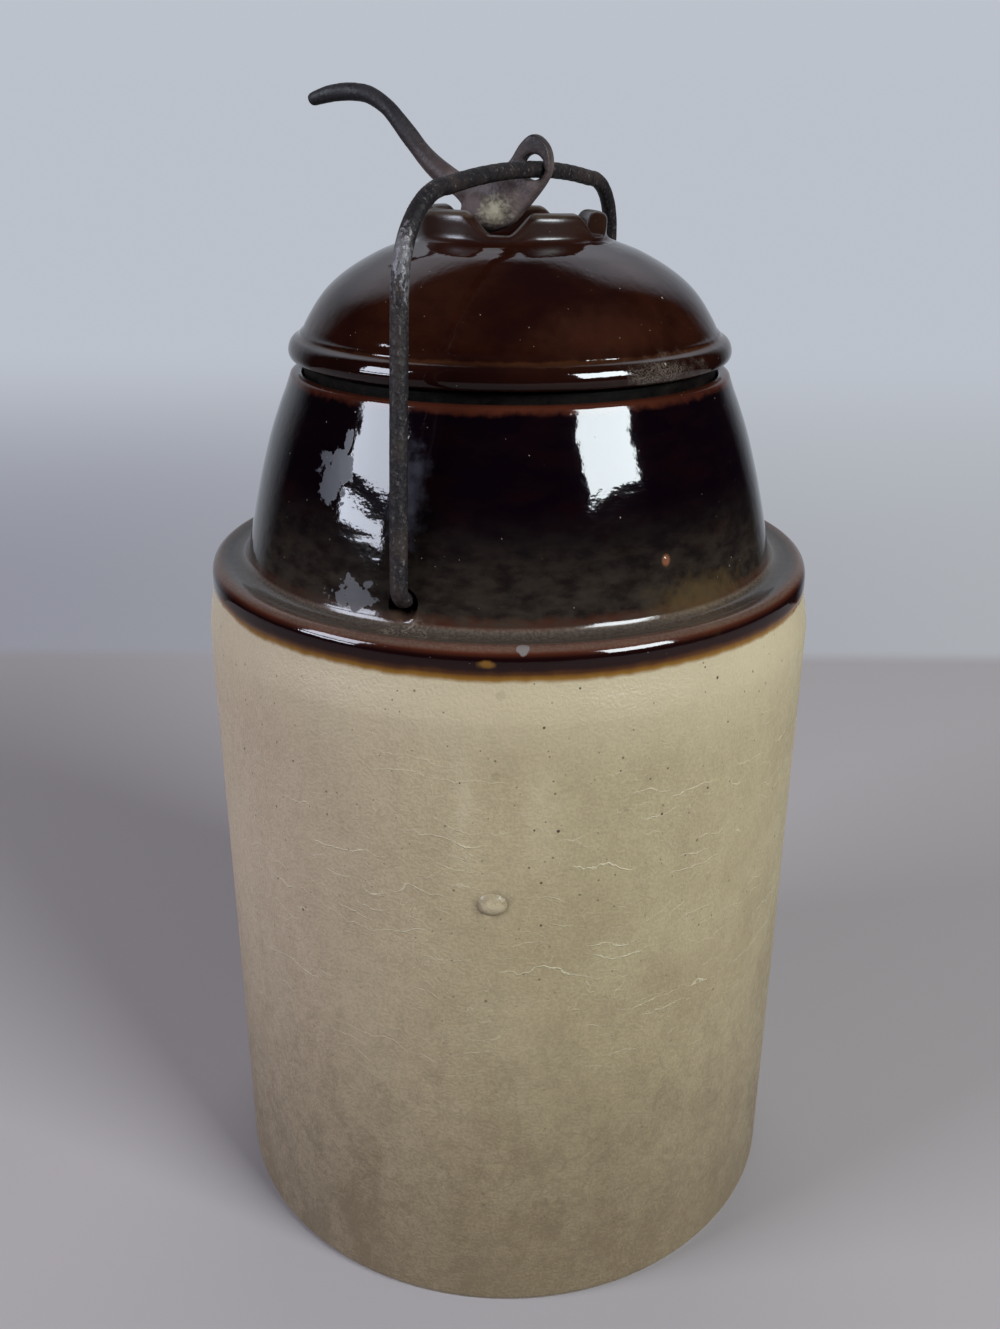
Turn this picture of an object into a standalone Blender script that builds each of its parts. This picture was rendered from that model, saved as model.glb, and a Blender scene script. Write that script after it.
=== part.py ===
"""Stoneware canning jar: a glazed body, a domed lid on a rubber ring, a wire bail and a cast cam lever.

Metres, +Z up. The origin is the centre of the flat base. The bail's hinge runs along Y.
"""

import math

import bmesh
import bpy
from mathutils import Matrix, Vector

MM = 0.001
TURN_STEPS = 64
CLEARANCE = 0.3 * MM  # between two pieces that touch on the real jar

BODY_RADIUS = 57.0 * MM
BODY_HEIGHT = 134.0 * MM  # up to the ledge around the shoulder dome
BODY_WALL = 8.5 * MM
BODY_FLOOR = 9.0 * MM
FOOT_INSET = 0.8 * MM
FOOT_HEIGHT = 1.3 * MM
SHOULDER_LENGTH = 12.0 * MM  # the body draws in slightly over this length below the ledge
SHOULDER_INSET = 1.3 * MM
LEDGE_WIDTH = 6.2 * MM
LEDGE_EDGE_RADIUS = 2.0 * MM
DOME_FILLET = 1.2 * MM
DOME_HEIGHT = 33.3 * MM  # from the ledge to the rim
DOME_BULGE = 0.35 * MM  # how far the dome stands outside a straight cone
RIM_RADIUS = 39.5 * MM
RIM_EDGE_RADIUS = 1.3 * MM
RIM_LAND = 2.2 * MM
SEAT_DEPTH = 4.0 * MM
MOUTH_RADIUS = 29.5 * MM
MOUTH_LENGTH = 8.0 * MM
MOUTH_EDGE_RADIUS = 1.0 * MM

RING_WIDTH = 4.4 * MM
RING_STAND = 1.6 * MM  # how far the ring stands above the rim
RING_EDGE_RADIUS = 0.5 * MM

BRIM_RADIUS = 39.6 * MM
BRIM_EDGE_RADIUS = 1.7 * MM
BRIM_HEIGHT = 5.2 * MM
BRIM_STEP = 2.8 * MM  # how far the dome stands inside the brim's edge
LID_RISE = 14.1 * MM  # from the brim's groove to the foot of the collar
LID_BULGE = 4.4 * MM
SPIGOT_DEPTH = 2.7 * MM
SPIGOT_EDGE_RADIUS = 0.8 * MM
SPIGOT_WALL = 4.6 * MM
LID_WALL = 7.0 * MM

COLLAR_RADIUS = 16.6 * MM
COLLAR_HEIGHT = 5.6 * MM
COLLAR_WALL = 3.2 * MM
COLLAR_FLARE = 2.3 * MM
COLLAR_EDGE_RADIUS = 1.3 * MM
SOCKET_DEPTH = 13.5 * MM  # below the collar's top
SOCKET_FILLET = 6.5 * MM
NOTCH_COUNT = 5
NOTCH_START = 13.5  # degrees from the front towards +X
NOTCH_DEPTH = 3.8 * MM
NOTCH_FLOOR = 3.6 * MM  # width across the floor, below ends that slope at 45 degrees

WIRE_DIAMETER = 2.9 * MM
HINGE_HEIGHT = 4.0 * MM  # above the ledge
HOLE_RADIUS = 2.35 * MM
HOLE_DROP = 0.4 * MM  # the wire is pulled up towards the top of its hole
HOLE_DEPTH = 5.6 * MM
PIVOT_BEND_RADIUS = 2.3 * MM
LEG_GAP = 0.2 * MM  # from the dome to the leg at hinge height
BAIL_TAPER = 7.0 * MM  # how far each leg leans in over its height
BAIL_CORNER_RADIUS = 15.7 * MM
BAIL_ARCH = 1.9 * MM
BAIL_LEAN = 2.7  # degrees towards +X, as the bail stands
BAIL_TWIST = 5.3  # degrees that the crossbar is turned from the hinge
BAR_HEIGHT = 4.3 * MM  # from the collar's top to the crossbar's axis at its ends

LEVER_PLACE = 4.0 * MM  # along the crossbar from its middle
PLATE_THICKNESS = 2.5 * MM
PLATE_EDGE_RADIUS = 0.4 * MM
EYE_RADIUS = 2.2 * MM
EYE_OFFSET = (-0.35 * MM, 0.35 * MM)  # the wire bears on the eye's lower side
NOSE_PLACE = (-9.0 * MM, -6.5 * MM)
NOSE_SIZE = (4.2 * MM, 3.8 * MM, 4.1 * MM)  # half sizes along the plate, across it and up
PLATE_OUTLINE = (
    (-21.2, 3.2), (-16.0, -0.4), (-11.6, -1.6), (-7.6, -0.7), (-4.8, 1.4), (-2.7, 4.2),
    (-0.4, 5.6), (2.1, 3.9), (2.9, 0.9), (2.1, -1.7), (-1.3, -5.8), (-5.2, -9.3), (-9.2, -10.4),
    (-12.2, -9.3), (-13.0, -6.7), (-15.8, -4.5), (-19.9, -2.0), (-23.7, 1.4),
)  # mm, from the crossbar's axis
HANDLE_PATH = (
    (-46.2, 11.5, 0.7), (-45.5, 11.7, 1.05), (-42.8, 12.4, 1.25), (-40.3, 12.8, 1.35),
    (-37.1, 12.95, 1.4), (-33.4, 12.4, 1.4), (-29.9, 10.4, 1.35), (-27.3, 7.9, 1.35),
    (-24.4, 4.6, 1.4), (-22.2, 2.0, 1.45), (-18.6, -1.1, 1.5), (-14.5, -3.2, 1.5),
)  # mm, with the bar's radius at each point

BODY_GLAZE = (0.62, 0.57, 0.46, 1.0)
LID_GLAZE = (0.07, 0.03, 0.02, 1.0)
RUBBER = (0.03, 0.03, 0.03, 1.0)
STEEL = (0.12, 0.11, 0.10, 1.0)
CAST_IRON = (0.10, 0.08, 0.075, 1.0)


def clear_scene():
    for obj in list(bpy.data.objects):
        bpy.data.objects.remove(obj, do_unlink=True)
    for name in ("stoneware_canning_jar", "cutters"):
        collection = bpy.data.collections.new(name)
        bpy.context.scene.collection.children.link(collection)
    cutters = bpy.data.collections["cutters"]
    cutters.hide_render = True


def material(name, colour, roughness, metallic=0.0):
    result = bpy.data.materials.new(name)
    result.use_nodes = True
    shader = result.node_tree.nodes["Principled BSDF"]
    shader.inputs["Base Color"].default_value = colour
    shader.inputs["Roughness"].default_value = roughness
    shader.inputs["Metallic"].default_value = metallic
    return result


def add_object(name, data, collection="stoneware_canning_jar", finish=None):
    obj = bpy.data.objects.new(name, data)
    bpy.data.collections[collection].objects.link(obj)
    if finish is not None:
        data.materials.append(finish)
    return obj


def add_cutter(name, data):
    obj = add_object(name, data, "cutters")
    obj.hide_render = True
    obj.display_type = "WIRE"
    return obj


def as_mesh_cutter(obj):
    """Replaces a curve by the mesh it makes, with its caps welded."""
    bpy.context.view_layer.update()
    graph = bpy.context.evaluated_depsgraph_get()
    mesh = bpy.data.meshes.new_from_object(obj.evaluated_get(graph))
    build = bmesh.new()
    build.from_mesh(mesh)
    bmesh.ops.remove_doubles(build, verts=build.verts, dist=0.001 * MM)
    bmesh.ops.recalc_face_normals(build, faces=build.faces)
    build.to_mesh(mesh)
    build.free()
    result = add_cutter(obj.name + "_solid", mesh)
    result.matrix_world = obj.matrix_world
    bpy.data.objects.remove(obj, do_unlink=True)
    return result


def boolean(obj, other, operation):
    modifier = obj.modifiers.new(other.name, "BOOLEAN")
    modifier.operation = operation
    modifier.solver = "EXACT"
    modifier.object = other


def curve_through(knots, steps):
    """Points of a smooth curve through the knots, with a number of steps between neighbours."""
    ends = [2 * knots[0] - knots[1], *knots, 2 * knots[-1] - knots[-2]]
    points = []
    for a, b, c, d in zip(ends, ends[1:], ends[2:], ends[3:]):
        for i in range(steps):
            t = i / steps
            points.append(
                0.5 * (2 * b + (c - a) * t + (2 * a - 5 * b + 4 * c - d) * t**2
                       + (3 * b - a - 3 * c + d) * t**3)
            )
    points.append(knots[-1])
    return points


def closed_curve_through(knots, steps):
    count = len(knots)
    points = []
    for i in range(count):
        near = [knots[(i + k) % count] for k in (-1, 0, 1, 2)]
        points += curve_through(near, steps)[steps : 2 * steps]
    return points


def rounded(corners, steps=2):
    """A profile through (radius, height, fillet) corners, with each fillet as an arc."""
    points = []
    for i, (r, z, fillet) in enumerate(corners):
        here = Vector((r, z))
        if not fillet or i in (0, len(corners) - 1):
            points.append(here)
            continue
        before = Vector(corners[i - 1][:2]) - here
        after = Vector(corners[i + 1][:2]) - here
        half = before.angle(after) / 2
        reach = min(fillet / math.tan(half), before.length * 0.49, after.length * 0.49)
        radius = reach * math.tan(half)
        middle = here + (before.normalized() + after.normalized()).normalized() * radius / math.sin(half)
        first = here + before.normalized() * reach - middle
        last = here + after.normalized() * reach - middle
        sweep = first.angle_signed(last)
        for k in range(steps + 1):
            arm = first.copy()
            arm.rotate(Matrix.Rotation(-sweep * k / steps, 2))
            points.append(middle + arm)
    return points


def dome_profile(foot, top, bulge, steps, skew=1.0):
    """Points from the foot up to the top of a dome: a cone plus a bulge, higher up with more skew."""
    points = []
    for i in range(steps + 1):
        t = i / steps
        line = foot.lerp(top, t)
        points.append(Vector((line.x + bulge * math.sin(math.pi * t**skew), line.y)))
    return points


def turned(name, profile, finish=None, closed=False):
    """A solid of revolution. The profile runs down the outer side, from top to bottom."""
    mesh = bpy.data.meshes.new(name)
    build = bmesh.new()
    points = [build.verts.new((max(p.x, 0.0), 0.0, p.y)) for p in profile]
    for a, b in zip(points, points[1:]):
        build.edges.new((a, b))
    if closed:
        build.edges.new((points[-1], points[0]))
    build.to_mesh(mesh)
    build.free()
    obj = add_object(name, mesh, finish=finish)
    screw = obj.modifiers.new("Turn", "SCREW")
    screw.axis = "Z"
    screw.angle = 2 * math.pi
    screw.steps = TURN_STEPS
    screw.render_steps = TURN_STEPS
    screw.use_merge_vertices = True
    screw.merge_threshold = 0.001 * MM
    screw.use_smooth_shade = True
    return obj


def cylinder(name, radius, start, end, sides=24):
    """A cutter from start to end."""
    axis = end - start
    mesh = bpy.data.meshes.new(name)
    build = bmesh.new()
    bmesh.ops.create_cone(
        build, cap_ends=True, segments=sides, radius1=radius, radius2=radius, depth=axis.length
    )
    build.to_mesh(mesh)
    build.free()
    obj = add_cutter(name, mesh)
    obj.location = (start + end) / 2
    obj.rotation_euler = axis.to_track_quat("Z", "Y").to_euler()
    return obj


def heights():
    """The levels that the pieces share, from the base upwards."""
    level = {"ledge": BODY_HEIGHT, "rim": BODY_HEIGHT + DOME_HEIGHT}
    level["seat"] = level["rim"] - SEAT_DEPTH
    level["hinge"] = level["ledge"] + HINGE_HEIGHT
    level["ring_top"] = level["rim"] + RING_STAND
    level["brim"] = level["ring_top"] + CLEARANCE
    level["groove"] = level["brim"] + BRIM_HEIGHT
    level["collar_foot"] = level["groove"] + LID_RISE
    level["collar_top"] = level["collar_foot"] + COLLAR_HEIGHT
    level["socket"] = level["collar_top"] - SOCKET_DEPTH
    level["bar"] = level["collar_top"] + BAR_HEIGHT
    return level


def body_dome(level, steps=4):
    foot = Vector((BODY_RADIUS - SHOULDER_INSET - LEDGE_WIDTH, level["ledge"]))
    return dome_profile(foot, Vector((RIM_RADIUS, level["rim"])), DOME_BULGE, steps)


def dome_radius(level, height):
    """The dome's outer radius at a height above the base."""
    dome = body_dome(level)
    for low, high in zip(dome, dome[1:]):
        if height <= high.y:
            return low.lerp(high, (height - low.y) / (high.y - low.y)).x
    return dome[-1].x


def make_body(level):
    """The fired body: a straight crock with a ledge, a coned shoulder dome and a stepped mouth."""
    dome = body_dome(level)
    seat_radius = RIM_RADIUS - RIM_LAND
    inner_radius = BODY_RADIUS - BODY_WALL
    mouth_foot = level["seat"] - MOUTH_LENGTH
    inner_shoulder = level["ledge"] - BODY_WALL
    corners = [
        (0, BODY_FLOOR, 0),
        (inner_radius, BODY_FLOOR, BODY_WALL),
        (inner_radius, inner_shoulder - SHOULDER_LENGTH, 4 * BODY_WALL),
        (MOUTH_RADIUS, mouth_foot, BODY_WALL),
        (MOUTH_RADIUS, level["seat"], MOUTH_EDGE_RADIUS),
        (seat_radius, level["seat"], MOUTH_EDGE_RADIUS / 2),
        (seat_radius, level["rim"], RIM_EDGE_RADIUS / 2),
        (RIM_RADIUS, level["rim"], RIM_EDGE_RADIUS),
        *((p.x, p.y, 0) for p in reversed(dome[1:-1])),
        (dome[0].x, dome[0].y, DOME_FILLET),
        (BODY_RADIUS - SHOULDER_INSET, level["ledge"], LEDGE_EDGE_RADIUS),
        (BODY_RADIUS - SHOULDER_INSET * 0.9, level["ledge"] - SHOULDER_LENGTH / 3, 0),
        (BODY_RADIUS - SHOULDER_INSET * 0.6, level["ledge"] - SHOULDER_LENGTH * 0.6, 0),
        (BODY_RADIUS, level["ledge"] - SHOULDER_LENGTH, 0),
        (BODY_RADIUS, FOOT_HEIGHT, FOOT_HEIGHT / 2),
        (BODY_RADIUS - FOOT_INSET, 0, 0),
        (0, 0, 0),
    ]
    glaze = material("buff_glaze", BODY_GLAZE, 0.3)
    body = turned("jar_body", rounded(corners), glaze)
    reach = dome_radius(level, level["hinge"])
    height = level["hinge"] - HOLE_DROP
    for side, name in ((-1, "near_hole"), (1, "far_hole")):
        start = Vector((0, side * (reach - HOLE_DEPTH), height))
        end = Vector((0, side * (reach + HOLE_DEPTH), height))
        hole = cylinder(name, HOLE_RADIUS, start, end)
        boolean(body, hole, "DIFFERENCE")
    return body


def make_ring(level):
    """The square rubber ring that lies in the seat and carries the lid."""
    outer = RIM_RADIUS - RIM_LAND - CLEARANCE
    low = level["seat"] + CLEARANCE
    corners = [
        (outer, low, RING_EDGE_RADIUS),
        (outer - RING_WIDTH, low, RING_EDGE_RADIUS),
        (outer - RING_WIDTH, level["ring_top"], RING_EDGE_RADIUS),
        (outer, level["ring_top"], RING_EDGE_RADIUS),
    ]
    middle = ((corners[0][0]), (low + level["ring_top"]) / 2, 0)
    profile = rounded([middle, *corners, middle])[:-1]
    return turned("sealing_ring", profile, material("rubber", RUBBER, 0.6), closed=True)


def notch_cutter(index, level):
    """A wedge across the collar, with a level floor and ends that slope at 45 degrees."""
    rise = NOTCH_DEPTH * 1.5
    floor = level["collar_top"] - NOTCH_DEPTH
    reach = COLLAR_RADIUS + COLLAR_FLARE + COLLAR_WALL
    near = COLLAR_RADIUS - 2 * COLLAR_WALL
    mesh = bpy.data.meshes.new("notch")
    build = bmesh.new()
    bmesh.ops.create_cube(build, size=1.0)
    for vert in build.verts:
        half_width = NOTCH_FLOOR / 2 + (rise if vert.co.z > 0 else 0)
        vert.co.x = math.copysign(half_width, vert.co.x)
        vert.co.y = -near if vert.co.y > 0 else -reach
        vert.co.z = floor + (rise if vert.co.z > 0 else 0)
    build.to_mesh(mesh)
    build.free()
    cutter = add_cutter(f"notch_{index}", mesh)
    cutter.rotation_euler.z = math.radians(NOTCH_START + index * 360 / NOTCH_COUNT)
    bevel = cutter.modifiers.new("Round", "BEVEL")
    bevel.width = NOTCH_FLOOR / 3
    bevel.segments = 3
    return cutter


def make_lid(level):
    """The domed lid: a brim, a spigot that finds the ring, and a notched collar round the socket."""
    groove_radius = BRIM_RADIUS - BRIM_STEP
    collar_foot = COLLAR_RADIUS + COLLAR_FLARE
    dome = dome_profile(
        Vector((groove_radius, level["groove"])), Vector((collar_foot, level["collar_foot"])),
        LID_BULGE, 8, skew=1.2,
    )
    socket_radius = COLLAR_RADIUS - COLLAR_WALL
    spigot = RIM_RADIUS - RIM_LAND - RING_WIDTH - 2 * CLEARANCE
    spigot_foot = level["brim"] - SPIGOT_DEPTH
    hollow = spigot - SPIGOT_WALL
    ceiling = level["socket"] - LID_WALL
    crown = level["collar_foot"] - 1.5 * LID_WALL
    corners = [
        (0, level["socket"], 0),
        (socket_radius, level["socket"], SOCKET_FILLET),
        (socket_radius, level["collar_top"], COLLAR_EDGE_RADIUS / 2),
        (COLLAR_RADIUS, level["collar_top"], COLLAR_EDGE_RADIUS),
        (collar_foot, level["collar_foot"], COLLAR_FLARE),
        *((p.x, p.y, 0) for p in reversed(dome[1:-1])),
        (groove_radius, level["groove"], BRIM_EDGE_RADIUS / 3),
        (BRIM_RADIUS, level["groove"] - BRIM_EDGE_RADIUS, BRIM_EDGE_RADIUS),
        (BRIM_RADIUS, level["brim"], BRIM_EDGE_RADIUS),
        (spigot, level["brim"], 0),
        (spigot, spigot_foot, SPIGOT_EDGE_RADIUS),
        (hollow, spigot_foot, SPIGOT_EDGE_RADIUS),
        (hollow - SPIGOT_EDGE_RADIUS, crown, LID_WALL / 2),
        (socket_radius + LID_WALL / 2, crown, LID_WALL / 3),
        (socket_radius - LID_WALL / 2, ceiling, LID_WALL / 2),
        (0, ceiling, 0),
    ]
    lid = turned("lid", rounded(corners), material("brown_glaze", LID_GLAZE, 0.15))
    for index in range(NOTCH_COUNT):
        boolean(lid, notch_cutter(index, level), "DIFFERENCE")
    return lid


def bail_shape(level):
    """The bail's height, its leg's radius, and the half length of its straight crossbar."""
    height = level["bar"] - level["hinge"]
    leg = dome_radius(level, level["hinge"]) + WIRE_DIAMETER / 2 + LEG_GAP
    slope = math.atan2(BAIL_TAPER, height)
    straight = leg - BAIL_TAPER - BAIL_CORNER_RADIUS / math.tan(math.pi / 4 + slope / 2)
    return height, leg, straight


def on_bail(level, along, up):
    """A point of the bail's centre line, from its place along the hinge and its height above it."""
    height, _, straight = bail_shape(level)
    if abs(along) < straight and up > height / 2:
        up += BAIL_ARCH * (1 - (along / straight) ** 2)
    lean = up * math.tan(math.radians(BAIL_LEAN))
    twist = along * math.tan(math.radians(BAIL_TWIST)) * up / height
    return Vector((lean + twist, along, up))


def make_bail(level):
    """One bent wire: its ends turn in the dome's two holes, and its crossbar carries the lever."""
    height, leg, straight = bail_shape(level)
    inner = dome_radius(level, level["hinge"]) - HOLE_DEPTH + CLEARANCE
    half = rounded(
        [(inner, 0, 0), (leg, 0, PIVOT_BEND_RADIUS), (leg - BAIL_TAPER, height, BAIL_CORNER_RADIUS),
         (0, height, 0)],
        steps=8,
    )
    legs = [p for p in half if p.x > straight * 1.001]
    bar = [Vector((straight * (1 - k / 6), height)) for k in range(13)]
    path = legs + bar + [Vector((-p.x, p.y)) for p in reversed(legs)]
    curve = bpy.data.curves.new("wire_bail", "CURVE")
    curve.dimensions = "3D"
    curve.bevel_depth = WIRE_DIAMETER / 2
    curve.bevel_resolution = 3
    curve.use_fill_caps = True
    spline = curve.splines.new("POLY")
    spline.points.add(len(path) - 1)
    for point, place in zip(spline.points, path):
        point.co = (*on_bail(level, place.x, place.y), 1)
    spline.use_smooth = True
    bail = add_object("wire_bail", curve, finish=material("steel", STEEL, 0.5, 0.8))
    bail.location.z = level["hinge"]
    return bail


def make_lever(level, bail):
    """The cast lever: a plate with an eye for the crossbar, a rounded nose and a curved handle."""
    plate = bpy.data.curves.new("plate", "CURVE")
    plate.dimensions = "2D"
    plate.fill_mode = "BOTH"
    plate.extrude = PLATE_THICKNESS / 2 - PLATE_EDGE_RADIUS
    plate.bevel_depth = PLATE_EDGE_RADIUS
    plate.bevel_resolution = 1
    plate.offset = -PLATE_EDGE_RADIUS
    outline = closed_curve_through([Vector(p) * MM for p in PLATE_OUTLINE], 4)
    eye = Vector(EYE_OFFSET)
    turns = [math.tau * k / 24 for k in range(24)]
    hole = [eye + EYE_RADIUS * Vector((math.cos(a), -math.sin(a))) for a in turns]
    for points in (outline, hole):
        spline = plate.splines.new("POLY")
        spline.points.add(len(points) - 1)
        for point, place in zip(spline.points, points):
            point.co = (*place, 0, 1)
        spline.use_cyclic_u = True
    flat = add_object("plate", plate, "cutters")
    flat.rotation_euler.x = math.pi / 2
    flat = as_mesh_cutter(flat)

    bar = bpy.data.curves.new("handle", "CURVE")
    bar.dimensions = "3D"
    bar.bevel_depth = MM
    bar.bevel_resolution = 3
    bar.use_fill_caps = True
    path = curve_through([Vector(p) for p in HANDLE_PATH], 3)
    spline = bar.splines.new("POLY")
    spline.points.add(len(path) - 1)
    for point, place in zip(spline.points, path):
        point.co = (place.x * MM, 0, place.y * MM, 1)
        point.radius = place.z
    handle = as_mesh_cutter(add_object("handle", bar, "cutters"))

    nose_mesh = bpy.data.meshes.new("nose")
    build = bmesh.new()
    bmesh.ops.create_uvsphere(build, u_segments=20, v_segments=12, radius=1.0)
    build.to_mesh(nose_mesh)
    build.free()
    nose_mesh.transform(Matrix.Diagonal((*NOSE_SIZE, 1)))
    nose_mesh.transform(Matrix.Translation((NOSE_PLACE[0], 0, NOSE_PLACE[1])))
    nose = add_cutter("nose", nose_mesh)

    lever = add_object("cam_lever", flat.data.copy(), finish=material("cast_iron", CAST_IRON, 0.6, 0.5))
    lever.matrix_world = flat.matrix_world
    lever.data.transform(lever.matrix_world)
    lever.matrix_world = Matrix()
    bpy.data.objects.remove(flat, do_unlink=True)
    place = on_bail(level, LEVER_PLACE, level["bar"] - level["hinge"])
    for piece in (lever, handle, nose):
        piece.parent = bail
        piece.location = place
        piece.rotation_euler.z = -math.radians(BAIL_TWIST)
    boolean(lever, handle, "UNION")
    boolean(lever, nose, "UNION")
    return lever


def main():
    clear_scene()
    level = heights()
    make_body(level)
    make_ring(level)
    make_lid(level)
    bail = make_bail(level)
    make_lever(level, bail)


main()
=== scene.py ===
import math

import bmesh
import bpy
from mathutils import Matrix, Vector


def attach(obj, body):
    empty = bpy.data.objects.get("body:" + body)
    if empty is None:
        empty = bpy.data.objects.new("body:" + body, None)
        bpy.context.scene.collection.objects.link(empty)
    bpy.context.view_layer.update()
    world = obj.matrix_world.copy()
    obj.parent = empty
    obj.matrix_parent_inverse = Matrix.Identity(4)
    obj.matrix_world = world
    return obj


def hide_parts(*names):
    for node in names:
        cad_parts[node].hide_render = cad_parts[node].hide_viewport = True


# A two-tone stoneware canning jar with its lid held down by a wire bail and a cast cam lever.
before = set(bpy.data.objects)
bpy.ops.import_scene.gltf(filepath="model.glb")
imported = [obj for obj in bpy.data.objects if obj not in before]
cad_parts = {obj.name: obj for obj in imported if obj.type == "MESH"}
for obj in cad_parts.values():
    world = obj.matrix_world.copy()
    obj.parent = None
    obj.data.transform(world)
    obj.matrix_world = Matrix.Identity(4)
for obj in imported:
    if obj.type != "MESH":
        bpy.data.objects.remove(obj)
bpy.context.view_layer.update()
mm = 0.001
print("frame loaded:", sorted(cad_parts))


# ---- node helpers; a socket knows its own tree
def isSocket(value):
    return isinstance(value, bpy.types.NodeSocket)


def put(tree, kind, inputs=None, **settings):
    # adds one node, then links or sets each input that is given
    node = tree.nodes.new(kind)
    for name, value in settings.items():
        setattr(node, name, value)
    for key, value in (inputs or {}).items():
        if isSocket(value):
            tree.links.new(value, node.inputs[key])
        else:
            node.inputs[key].default_value = value
    return node


def made(tree, kind, inputs=None, **settings):
    # adds one node, and gives its first output
    return put(tree, kind, inputs, **settings).outputs[0]


def feed(node, values):
    # links values to a node's named inputs, and gives its tree
    for name, value in values.items():
        node.id_data.links.new(value, node.inputs[name])
    return node.id_data


def maths(operation, *values):
    tree = next(value.id_data for value in values if isSocket(value))
    return made(tree, "ShaderNodeMath", dict(enumerate(values)), operation=operation)


def chained(operation):
    # the same operation over any number of values, from left to right
    def run(total, *others):
        for other in others:
            total = maths(operation, total, other)
        return total
    return run


plus, minus, times, over, most = map(chained, ("ADD", "SUBTRACT", "MULTIPLY", "DIVIDE", "MAXIMUM"))


def ramp(value, low, high, toLow=0.0, toHigh=1.0):
    # a soft step from toLow to toHigh as value goes from low to high
    inputs = {"Value": value, "From Min": low, "From Max": high, "To Min": toLow, "To Max": toHigh}
    return made(value.id_data, "ShaderNodeMapRange", inputs, interpolation_type="SMOOTHSTEP")


def fade(value, low, high, start=1.0):
    return ramp(value, low, high, start, 0.0)


def vectors(operation, a, b=None):
    # a length and a dot product come out as a number, all else as a vector
    inputs = {0: a} if b is None else {0: a, "Scale" if operation == "SCALE" else 1: b}
    output = "Value" if operation in ("LENGTH", "DOT_PRODUCT") else "Vector"
    return put(a.id_data, "ShaderNodeVectorMath", inputs, operation=operation).outputs[output]


def stretched(spot, scale):
    return vectors("MULTIPLY", spot, scale)


def axis(spot, name):
    return put(spot.id_data, "ShaderNodeSeparateXYZ", {0: spot}).outputs[name]


def along(spot, degrees):
    # how far a place lies along a level direction, which turns from +X towards +Y
    turn = math.radians(degrees)
    return vectors("DOT_PRODUCT", spot, (math.cos(turn), math.sin(turn), 0))


def noise(spot, scale, detail=3.0, roughness=0.5, seed=None):
    # a cloudy field round 0.5
    inputs = {"Vector": spot, "Scale": scale, "Detail": detail, "Roughness": roughness}
    if seed is None:
        return made(spot.id_data, "ShaderNodeTexNoise", inputs)
    return made(spot.id_data, "ShaderNodeTexNoise", {**inputs, "W": seed}, noise_dimensions="4D")


def centred(field, reach):
    # moves a noise from round 0.5 to round nought, then scales it
    return times(minus(field, 0.5), reach)


def newTree(name, kind, inputs, *outputs):
    # an input comes with its default, or else with the name of its type
    tree = bpy.data.node_groups.new(name, kind)
    types = {int: "Int", float: "Float", tuple: "Vector"}
    for label, given in inputs.items():
        sort = given if isinstance(given, str) else types[type(given)]
        socket = tree.interface.new_socket(name=label, in_out="INPUT", socket_type="NodeSocket" + sort)
        if sort != given:
            socket.default_value = given
    for label in outputs:
        sort = "Geometry" if label == "Geometry" else "Float"
        tree.interface.new_socket(name=label, in_out="OUTPUT", socket_type="NodeSocket" + sort)
    return tree, put(tree, "NodeGroupInput").outputs, put(tree, "NodeGroupOutput")


def addPiece(name, data):
    piece = bpy.data.objects.new(name, data)
    bpy.context.scene.collection.objects.link(piece)
    return piece


def lineMesh(name, points):
    mesh = bpy.data.meshes.new(name)
    mesh.from_pydata([tuple(p) for p in points], [(i, i + 1) for i in range(len(points) - 1)], [])
    return mesh


def meshFrom(build, name):
    mesh = bpy.data.meshes.new(name)
    build.to_mesh(mesh)
    build.free()
    return mesh


def shapedMesh(piece):
    # the mesh that a piece's curve or modifiers make
    bpy.context.view_layer.update()
    return bpy.data.meshes.new_from_object(piece.evaluated_get(bpy.context.evaluated_depsgraph_get()))


def keepResult(piece):
    mesh, old = shapedMesh(piece), piece.data
    piece.modifiers.clear()
    piece.data = mesh
    bpy.data.meshes.remove(old)


def runTree(piece, tree, values):
    # sets the tree's named inputs by identifier, then keeps the result as a plain mesh
    modifier = piece.modifiers.new(tree.name, "NODES")
    modifier.node_group = tree
    for item in tree.interface.items_tree:
        if item.item_type == "SOCKET" and item.in_out == "INPUT" and item.name in values:
            modifier[item.identifier] = values[item.name]
    keepResult(piece)


def faceOutwards(piece, creaseAngle=40):
    # a closed shell with a negative volume is inside out
    build = bmesh.new()
    build.from_mesh(piece.data)
    bmesh.ops.remove_doubles(build, verts=build.verts, dist=0.0005 * mm)
    if build.calc_volume(signed=True) < 0:
        bmesh.ops.reverse_faces(build, faces=build.faces)
    build.to_mesh(piece.data)
    build.free()
    piece.data.shade_smooth()
    piece.data.set_sharp_from_angle(angle=math.radians(creaseAngle))


# ---- curves and profiles, in millimetres
def softCorners(corners, arcSteps):
    # (radius, height, fillet) corners joined by straight runs and arcs
    points = []
    for i, (r, z, fillet) in enumerate(corners):
        here = Vector((r, z))
        if not fillet or i in (0, len(corners) - 1):
            points.append(here)
            continue
        before = Vector(corners[i - 1][:2]) - here
        after = Vector(corners[i + 1][:2]) - here
        half = before.angle(after) / 2
        reach = min(fillet / math.tan(half), before.length * 0.49, after.length * 0.49)
        middle = (before.normalized() + after.normalized()).normalized()
        centre = here + middle * reach / math.cos(half)
        first = here + before.normalized() * reach - centre
        last = here + after.normalized() * reach - centre
        sweep = first.angle_signed(last)
        for k in range(arcSteps + 1):
            arm = first.copy()
            arm.rotate(Matrix.Rotation(-sweep * k / arcSteps, 2))
            points.append(centre + arm)
    return points


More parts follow.
